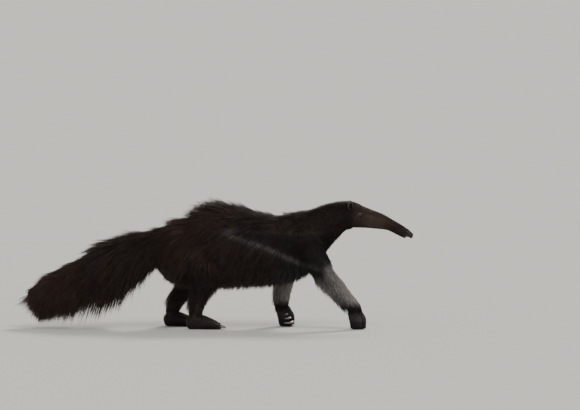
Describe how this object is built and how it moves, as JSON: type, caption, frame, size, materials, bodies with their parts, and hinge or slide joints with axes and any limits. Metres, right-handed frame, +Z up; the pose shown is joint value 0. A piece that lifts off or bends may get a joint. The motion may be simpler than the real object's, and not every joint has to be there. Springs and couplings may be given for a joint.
{
  "type": "giant anteater",
  "caption": "Walking giant anteater: long tapering snout, small round ears, folded fists, maned back with a pale-edged dark shoulder band, and a long drooping plume of a tail",
  "frame": {"origin": "on the floor, under the middle of the model's box", "axes": "+X towards the nose, +Y towards the left side, +Z up"},
  "size_m": [1.8768, 0.3318, 0.6189],
  "materials": {
    "coat": "coarse dark brown hair, nearly black, ticked with grey-brown",
    "plume": "very long stiff dark brown hair",
    "pale_coat": "greyish white short hair over dark skin",
    "face": "very short grey-brown hair, lying flat",
    "nose": "bare damp black skin",
    "eye": "wet dark brown, nearly black",
    "claw": "grey-brown horn, satin, with fine lengthwise ridges"
  },
  "bodies": {
    "root": {"torso": "coat", "neck": "coat", "head": "face", "nose": "nose", "lower_jaw": "face", "eye_right": "eye", "eye_left": "eye", "ear_right": "face", "ear_left": "face", "tail": "plume", "foreleg_right": "pale_coat", "foreleg_left": "pale_coat", "hindleg_right": "coat", "hindleg_left": "coat", "hand_right": "pale_coat", "hand_left": "pale_coat", "foot_right": "coat", "foot_left": "coat", "claw_hand_right_1": "claw", "claw_hand_right_2": "claw", "claw_hand_right_3": "claw", "claw_hand_right_4": "claw", "claw_hand_left_1": "claw", "claw_hand_left_2": "claw", "claw_hand_left_3": "claw", "claw_hand_left_4": "claw", "claw_foot_right_1": "claw", "claw_foot_right_2": "claw", "claw_foot_right_3": "claw", "claw_foot_right_4": "claw", "claw_foot_right_5": "claw", "claw_foot_left_1": "claw", "claw_foot_left_2": "claw", "claw_foot_left_3": "claw", "claw_foot_left_4": "claw", "claw_foot_left_5": "claw"}
  },
  "joints": []
}
